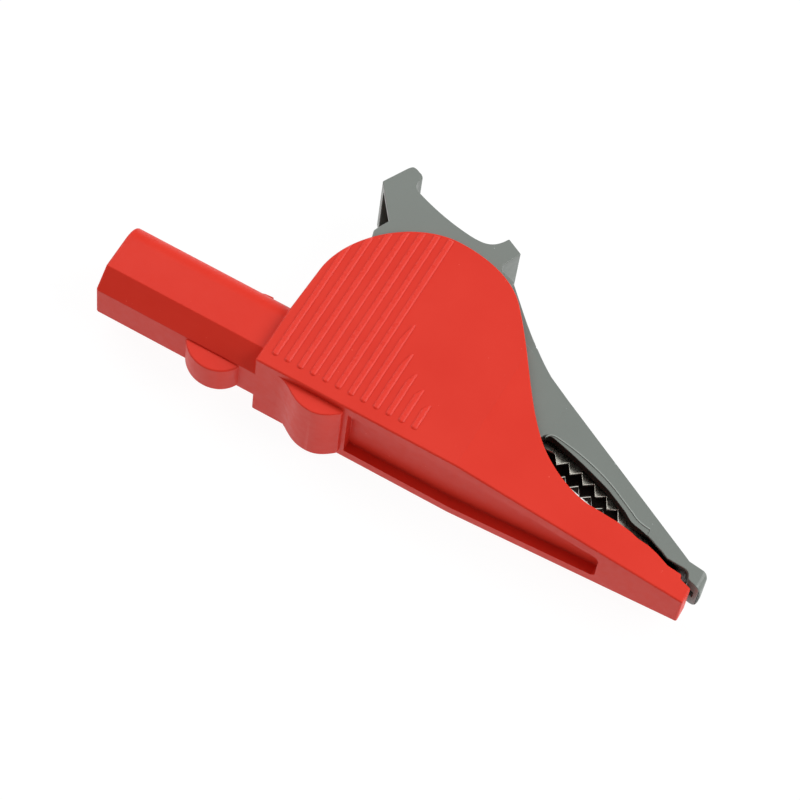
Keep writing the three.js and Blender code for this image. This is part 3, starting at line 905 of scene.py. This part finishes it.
def upper_jaw():
    """A channel of bent sheet, open downwards, with teeth on both walls and ears on the pin."""
    x, y = PIVOT
    walls = Outline(x, y - 4.2).line((52, 4.2), (63.5, 5.2), *upper_teeth())
    walls.line((89.6, -2.2), (89.6, -1.25), (87.6, -0.8), (78.5, 3.5), (71, 7.05), (62.2, 11.1))
    walls.line((56, 15), (50, 14.4), (x, y + 4.2))
    walls.arc(PIVOT, 4.2, math.pi / 2, 1.5 * math.pi)
    hollow = [
        (30, -20), (88.9, -20), (88.9, -1.8), (87.3, -1.45), (78.2, 2.85), (70.7, 6.4),
        (61.9, 10.45), (55.8, 14.2), (52, 14.2), (52, 30), (30, 30),
    ]

    def plan(inset):
        return plan_solid(symmetric_plan([
            (38, 3.5 - inset), (56, 3.5 - inset), (64, 2.5 - inset), (90, 1.2 - inset),
        ]), -22, 40)

    def bend(px, py, _):
        return px > 55 and py > 11.1 - 0.478 * (px - 62.2) - 1.2

    outer = rounded(common(side_solid(walls, 10), plan(0)), 0.75, 4, 28, bend)
    inner = rounded(common(side_solid(hollow, 10), plan(SHEET)), 0.3, 3, 28, bend)
    piece = rounded(cut(outer, inner, pivot_hole()), 0.05, 2, 40)
    return place(piece, "upper_jaw_blade", "lever_arm", "upper_jaw", "nickel_plate", NICKEL)


def lower_jaw():
    """A channel of bent sheet, open upwards, with teeth, ears, and the tab behind the socket."""
    x, y = PIVOT
    fall, nose = FLOOR_FALL
    base = FLOOR + GAP
    nose_base = NOSE_FLOOR + GAP
    front = BODY_FRONT - 1.5
    walls = Outline(TAB_REAR, base).line((fall, base), (nose, nose_base), (front, nose_base))
    walls.line((front, -2.75), *sorted(lower_teeth(), reverse=True))
    walls.line((64, 0.9), (53, 0.9), (x + 4.6, y - 1.6))
    walls.arc(PIVOT, 4.8, -0.33, math.pi + 0.33)
    walls.line((x - 7.5, 0.4), (TAB_FRONT, 0.4), (TAB_FRONT, 3.4), (TAB_REAR, 3.4))
    hollow = [
        (TAB_FRONT, base + SHEET), (fall - 0.2, base + SHEET), (nose - 0.2, nose_base + SHEET),
        (110, nose_base + SHEET), (110, 30), (TAB_FRONT, 30),
    ]

    def plan(inset):
        return plan_solid(symmetric_plan([
            (20, 4.5 - inset), (54, 4.5 - inset), *((x, half - inset) for x, half in LOWER_JAW_SIDES),
        ]), -22, 40)

    def bend(px, py, _):
        return px > 40 and py < base + SHEET + 0.2 - max(0, px - fall) * 0.16

    outer = rounded(common(side_solid(walls, 10), plan(0)), 0.6, 4, 28, bend)
    inner = rounded(common(side_solid(hollow, 10), plan(SHEET)), 0.25, 3, 28, bend)
    piece = cut(outer, inner, turned(rod(1.3, TAB_REAR - 1, TAB_FRONT + 0.1), along_x), pivot_hole())
    piece = rounded(piece, 0.05, 2, 40)
    return place(piece, "lower_jaw_channel", "base", "lower_jaw", "nickel_plate", NICKEL)


# ---- Pivot and spring ----


def pivot_pin():
    """The pin through the ears, with a formed head at both ends."""
    half = [(PIN_RADIUS, 4.95), (2.1, 4.95), (2.2, 5.02), (2.12, 5.14), (1.8, 5.25), (1.2, 5.3), (0, 5.3)]
    profile = [(radius, -place) for radius, place in reversed(half)] + half
    return place(turned(profile, along_pivot), "rivet_pin", "base", "pivot_pin", "spring_steel", STEEL)


def spring_bush():
    """The tube on the pin that the coil sits round."""
    bore = PIN_RADIUS + PIN_CLEARANCE
    profile = [
        (bore, -2.5), (bore + 0.1, -2.6), (2.1, -2.6), (2.2, -2.5),
        (2.2, 2.5), (2.1, 2.6), (bore + 0.1, 2.6), (bore, 2.5),
    ]
    return place(turned(profile, along_pivot), "bush_tube", "base", "spring_bush", "contact_metal", BRASS)


def wire(path, radius):
    """A round wire along a path, closed at both ends."""
    path = [Vector(point) for point in path]
    bm = bmesh.new()
    rings = []
    side = None
    for i, point in enumerate(path):
        along = (path[min(i + 1, len(path) - 1)] - path[max(i - 1, 0)]).normalized()
        side = (along.orthogonal() if side is None else side - along * side.dot(along)).normalized()
        other = along.cross(side)
        ring = []
        for k in range(WIRE_SIDES):
            angle = 2 * math.pi * k / WIRE_SIDES
            ring.append(bm.verts.new(point + radius * (math.cos(angle) * side + math.sin(angle) * other)))
        rings.append(ring)
    for first, second in zip(rings, rings[1:]):
        for k in range(WIRE_SIDES):
            bm.faces.new((first[k], first[k - 1], second[k - 1], second[k]))
    bm.faces.new(rings[0])
    bm.faces.new(rings[-1])
    return new_piece("wire", bm)


def torsion_spring():
    """A coil round the bush, whose legs run back to the lower jaw and up to the lever."""
    width = SPRING["turns"] * SPRING["pitch"]
    start = -1.35
    steps = round(SPRING["turns"] * 40)
    lower_foot = Vector((34.2, FLOOR + GAP + SHEET + GAP + SPRING["wire"], -width / 2))
    upper_foot = Vector((36.4, 25.2, width / 2))
    coil = []
    for i in range(steps + 1):
        angle = start + 2 * math.pi * SPRING["turns"] * i / steps
        coil.append(Vector((
            PIVOT[0] + SPRING["radius"] * math.cos(angle),
            PIVOT[1] + SPRING["radius"] * math.sin(angle),
            width * (i / steps - 0.5),
        )))
    shares = [k / 12 for k in range(12)]
    lower_leg = [lower_foot.lerp(coil[0], share) for share in shares]
    upper_leg = [upper_foot.lerp(coil[-1], share) for share in shares]
    piece = wire(lower_leg + coil + upper_leg[::-1], SPRING["wire"])
    spring = place(piece, "hinge_spring", None, "torsion_spring", "spring_steel", STEEL)
    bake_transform(spring)
    return spring


# ---- Lever ----


def lever_half(x):
    """The lever's half-width at x."""
    if x > NOSE["start"]:
        fall = (NOSE["half"] - NOSE["front_half"]) / (NOSE["front"] - NOSE["start"])
        return NOSE["half"] - (x - NOSE["start"]) * fall
    fall = (LEVER_HALF - NOSE["half"]) / (NOSE["start"] - TAPER_START)
    return LEVER_HALF - max(0, x - TAPER_START) * fall


def lever_outline():
    """The lever from the side: the tail's edge, the eye, the tip, and back along to the pad."""
    shape = Outline(25.5, 29).line((29.5, 23.8), (28.7, 22.1), (28.4, 21.3), (29.2, 18.5))
    shape.curve((30.5, 11), (35, 3.4), (42, 2.4)).line((52, 2.4), (63.2, 4.3), (63.9, 5.6))
    shape.bend((64.3, 6.2), (65.3, 6.15)).curve((69, 5.4), (72.5, 4.4), (75.5, 3.35))
    shape.curve((77, 2.65), (78, 2.2), (78.7, 1.85), 8).curve((79.6, 1.35), (79.8, 0.85), (81.45, 0.66), 12)
    shape.curve((82.5, 0.5), (83.4, 0.2), (84.6, -0.3), 8)
    shape.line((85.6, -0.65), (86.8, -1.2), (89.4, -1.22))
    shape.bend((90.3, -1.3), (90.5, -2)).bend((90.6, -2.4), (91.1, -2.5)).line((92.5, -2.85))
    shape.bend((TIP, -2.9), (TIP, -2.4)).line((92.75, -0.6)).bend((92.6, -0.15), (91.9, -0.05))
    shape.line((89.6, 0.12), NOSE_BACK[1], NOSE_BACK[0])
    shape.curve((59.6, 14.5), (56.6, 16.9), (52.4, 21.15)).line((49.3, 24.3))
    shape.line((46.9, 25), (46.6, 25.9), (47.9, 28.8), (45.3, 30.1))
    shape.curve((44.1, 27.6), (42.6, 27.5), (40.4, 27.7)).curve((37, 28.1), (34, 28.9), (30.9, 30.1))
    shape.curve((29.7, 30.6), (29.6, 31.4), (30.1, 32.4), 14)
    shape.bend((29.9, 32.9), (29.2, 33.1)).bend((28.7, TOP), (28.2, TOP))
    return shape.bend((27.9, TOP), (27.5, 32.75))


def lever_hollow_outline():
    """The room inside the lever, open downwards."""
    shape = Outline(26.35, 27.95).line((28.1, 31.4), (29.3, 29.5))
    shape.curve((33.5, 27.5), (37, 26.6), (40.4, 26.35))
    shape.line((44.6, 26.9), (45.9, 24.2), (48.6, 22.9), (51.4, 20))
    shape.curve((55.6, 15.7), (58.6, 13.2), (64, 10.8)).line((87.9, -0.55), (90, -0.95))
    return shape.line((90, -30), (10, -30), (10, 23))


def beside_shoulder(inset):
    """What lies beside the tail's front half: above the line of the nose's back, outside a plan."""
    rear = 49.3
    (end_x, end_y), (front_x, front_y) = NOSE_BACK
    slope = (end_y - front_y) / (front_x - end_x)
    outline = [(rear, end_y + slope * (end_x - rear)), NOSE_BACK[0], (end_x, 50), (rear, 50)]
    above = side_solid(outline, ACROSS)
    return cut(above, plan_solid(symmetric_plan([
        (20, LEVER_HALF - inset),
        (TAPER_START, LEVER_HALF - inset),
        (NOSE["start"], NOSE["half"] - inset),
        (70, lever_half(70) - inset),
    ])))


def eye_crease():
    """The line on the lever's sides along which the flange round the eye steps in."""
    shape = Outline(EYE["rear"], 5.7).bend((64.7, 6.65), (65.7, 6.55))
    shape.curve((69.5, 6.3), (74, 5.2), (77.2, 3.5)).line((79.9, 2.2))
    return shape.curve((80.6, 1.7), (81.4, 1.5), (82.9, 1.4), 10)


def painted_crease_line():
    """A fine strip along the crease on both sides of the lever, barely proud, whose paler grey is a painted
    highlight.
    """
    crease = eye_crease().points
    lower = [(x, y - PAINTED_CREASE_LINE["width"]) for x, y in reversed(crease)]
    strip = side_solid([*crease, *lower], ACROSS)

    def plan(proud):
        return plan_solid(symmetric_plan([(x, lever_half(x) + proud) for x in (EYE["rear"], EYE["front"])]))

    line = cut(common(strip, plan(PAINTED_CREASE_LINE["height"])), plan(-2 * EYE["step"]))
    return place(line, "lever_painted_crease_line", "lever_arm", "lever", "grey_plastic", PAINTED_HIGHLIGHT_GREY)


def beside_eye():
    """What lies outside the flange round the eye, on both sides of the lever."""
    crease = eye_crease().points
    below = side_solid([*crease, (EYE["front"], -3), (EYE["rear"], -3)], ACROSS)
    return cut(below, plan_solid(symmetric_plan([
        (x, lever_half(x) - EYE["step"]) for x in (TAPER_START, NOSE["start"], 90)
    ])))


def clear_of_step_end(x, y, _):
    """False where the shoulder's step runs out too thin to be rounded."""
    return not (STEP_END["rear"] < x < STEP_END["front"] and y > STEP_END["low"])


def lever():
    """The lever: a hollow shell, stepped in at its shoulder and round the eye."""
    plan = symmetric_plan([
        (20, LEVER_HALF), (TAPER_START, LEVER_HALF), (NOSE["start"], NOSE["half"]),
        (NOSE["front"], NOSE["front_half"]), (92.4, 2.55), (92.75, 2.1), (92.9, 1.5), (TIP, 0.3),
    ])
    hollow_plan = symmetric_plan([
        (5, LEVER_HALF - LEVER_WALL),
        (52, LEVER_HALF - LEVER_WALL),
        (NOSE["start"], NOSE["half"] - LEVER_NOSE_WALL),
        (81, lever_half(81) - LEVER_NOSE_WALL),
        (EYE["front"], lever_half(EYE["front"]) - LEVER_FRONT_WALL),
        (91, lever_half(91) - LEVER_FRONT_WALL),
    ])
    outer = common(side_solid(lever_outline(), ACROSS), plan_solid(plan))
    outer = rounded(cut(outer, beside_shoulder(SHOULDER)), 0.16, where=clear_of_step_end)
    hollow = common(side_solid(lever_hollow_outline(), ACROSS), plan_solid(hollow_plan))
    hollow = rounded(cut(hollow, beside_shoulder(SHOULDER + LEVER_WALL)), 0.3)
    nose_slot = rounded(side_solid([(88, -1.3), (92, -1.3), (92, -20), (88, -20)], 0.8), 0.2)
    cut(outer, beside_eye())
    piece = cut(outer, hollow, nose_slot, turned(rod(2.6, -ACROSS, ACROSS), along_pivot))
    return place(piece, "lever_shell", "lever_arm", "lever", "grey_plastic", GREY)


housing()
socket_insulator()
contact_tube()
contact_screw()
lock_washer()
lower_jaw()
upper_jaw()
pivot_pin()
spring_bush()
torsion_spring()
lever()
painted_crease_line()


# ---- Stage ----


def stage():
    """The pale floor."""
    bm = bmesh.new()
    bmesh.ops.create_grid(bm, x_segments=1, y_segments=1, size=3)
    floor = new_piece("studio_floor", bm)
    nodes = Nodes("studio_floor")
    floor.data.materials.append(nodes.to_shader(
        Base_Color=colour(0.07, 0.07, 0.07), Roughness=0.9, Specular_IOR_Level=0.1,
        Emission_Color=colour(1, 1, 1), Emission_Strength=0.95))


def softbox(name, position, side, watts):
    """A square area light that faces the frame's origin."""
    light = bpy.data.lights.new(name, "AREA")
    light.shape = "SQUARE"
    light.size = side
    light.energy = watts
    lamp = bpy.data.objects.new(name, light)
    lamp.location = position
    lamp.rotation_euler = Vector(position).to_track_quat("Z", "Y").to_euler()
    scene.collection.objects.link(lamp)


def lighting():
    world = bpy.data.worlds.new("studio")
    world.use_nodes = True
    background = world.node_tree.nodes["Background"]
    background.inputs["Color"].default_value = colour(1, 1, 1)
    background.inputs["Strength"].default_value = 0.2
    scene.world = world
    softbox("left_softbox", (-0.60, 0.20, 0.55), 0.7, 3.8)
    softbox("right_softbox", (0.60, 0.20, 0.55), 0.7, 5.8)
    softbox("top_softbox", (-0.16, 0.40, 0.78), 0.6, 0.8)
    scene.view_settings.view_transform = "Standard"


def camera():
    """The photograph's viewpoint: a long lens, above and to the underside of the clip."""
    azimuth, elevation, roll = (math.radians(angle) for angle in (21.169, 61.271, 9.168))
    distance = 0.47075
    aim = Vector((-2.706, -9.848, 7.2)) * MM
    back = Vector((
        math.sin(azimuth) * math.cos(elevation),
        -math.cos(azimuth) * math.cos(elevation),
        math.sin(elevation),
    ))
    lens = bpy.data.cameras.new("camera")
    lens.lens = 153.23
    lens.sensor_width = 36
    eye = bpy.data.objects.new("camera", lens)
    turn = (-back).to_track_quat("-Z", "Y").to_matrix().to_4x4()
    eye.matrix_world = Matrix.Translation(aim + back * distance) @ turn @ Matrix.Rotation(roll, 4, "Z")
    scene.collection.objects.link(eye)
    scene.camera = eye


stage()
lighting()
camera()
